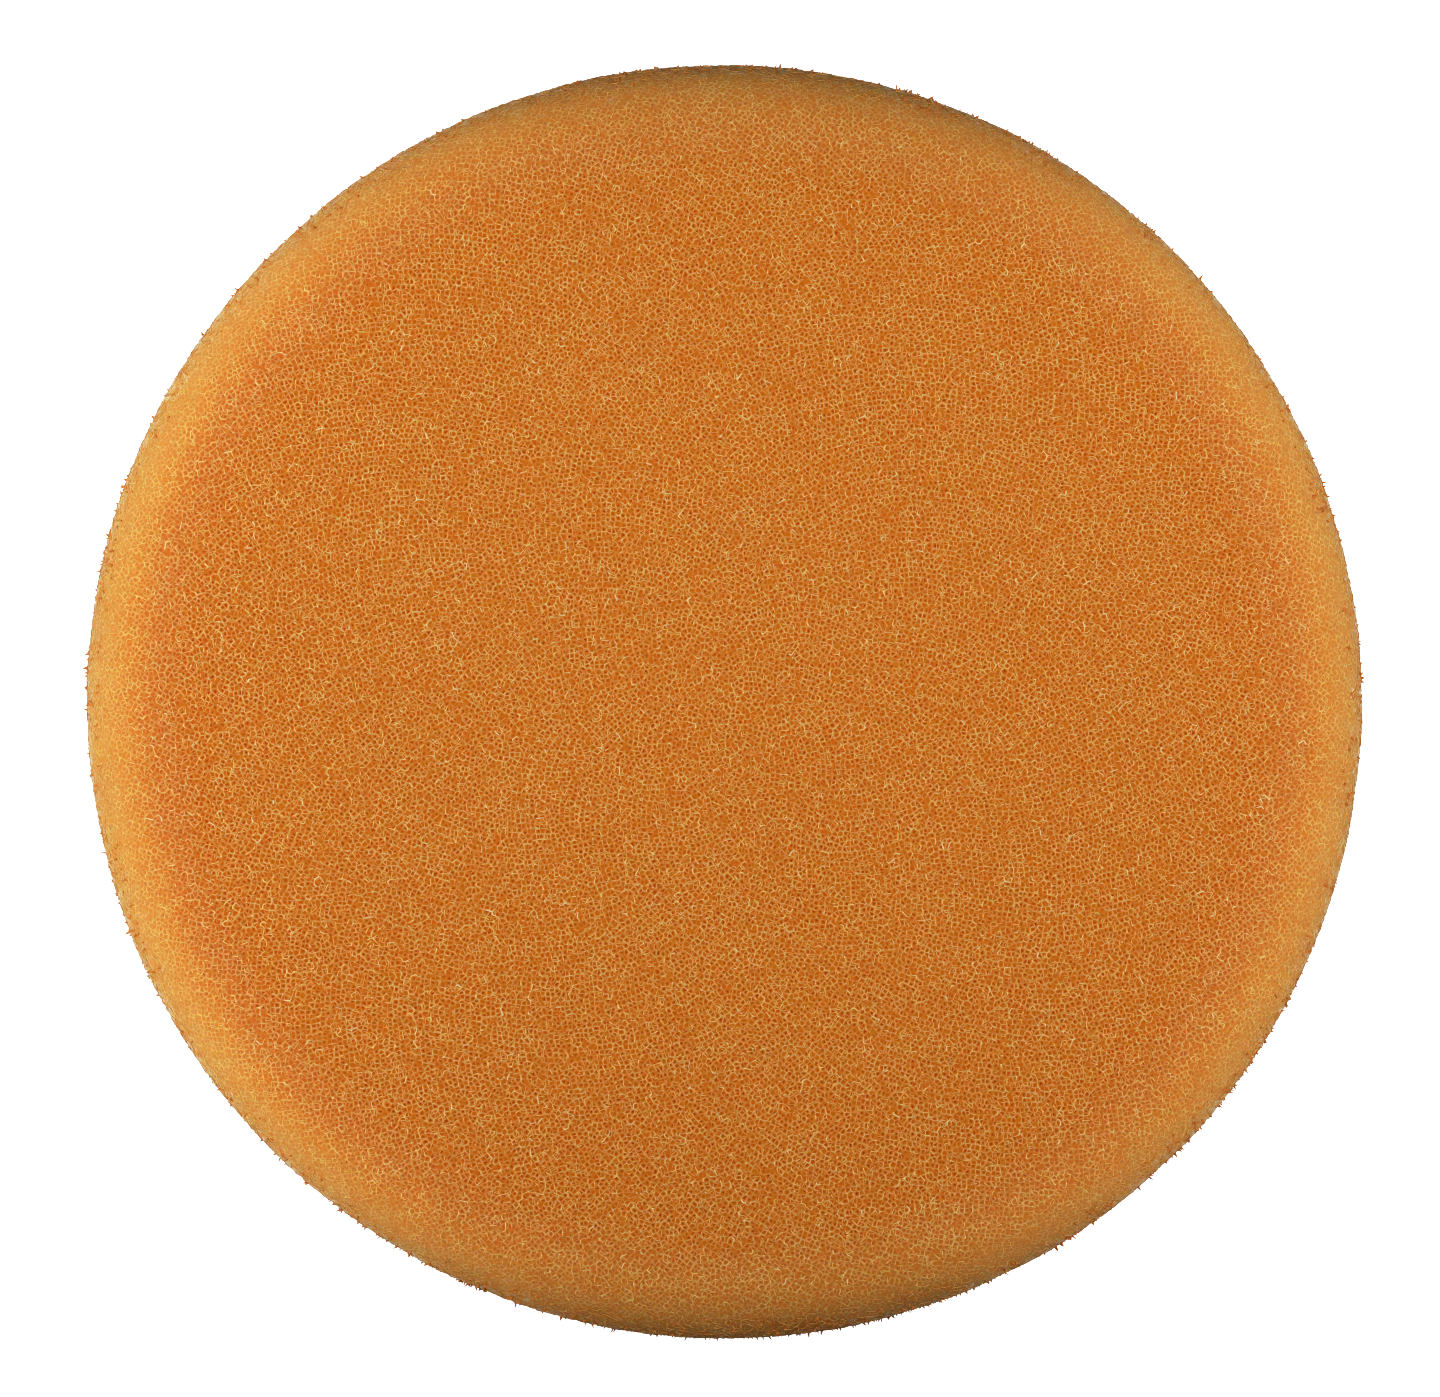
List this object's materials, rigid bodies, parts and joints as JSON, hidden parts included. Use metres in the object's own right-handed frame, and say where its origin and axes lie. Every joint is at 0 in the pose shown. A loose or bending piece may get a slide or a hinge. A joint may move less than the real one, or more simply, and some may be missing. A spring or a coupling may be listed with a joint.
{
  "type": "polishing pad",
  "caption": "Round open-cell foam polishing pad with a radiused working edge and a brushed loop backing that grips a hook backing plate.",
  "frame": {"origin": "centre of the loop face, on the plane that the pad lies on", "axes": "+Z along the pad's axis, out of the working face; X and Y lie in the loop face, and the pad is round about Z"},
  "size_m": [0.15, 0.15, 0.025],
  "materials": {
    "foam": "orange open-cell polyurethane foam, matt",
    "adhesive": "clear amber hot-melt film",
    "ground_cloth": "off-white warp-knitted polyamide",
    "pile": "off-white brushed loops, soft sheen"
  },
  "bodies": {
    "root": {"foam_disc": "foam", "adhesive_film": "adhesive", "loop_ground_cloth": "ground_cloth", "loop_pile": "pile"}
  },
  "joints": []
}
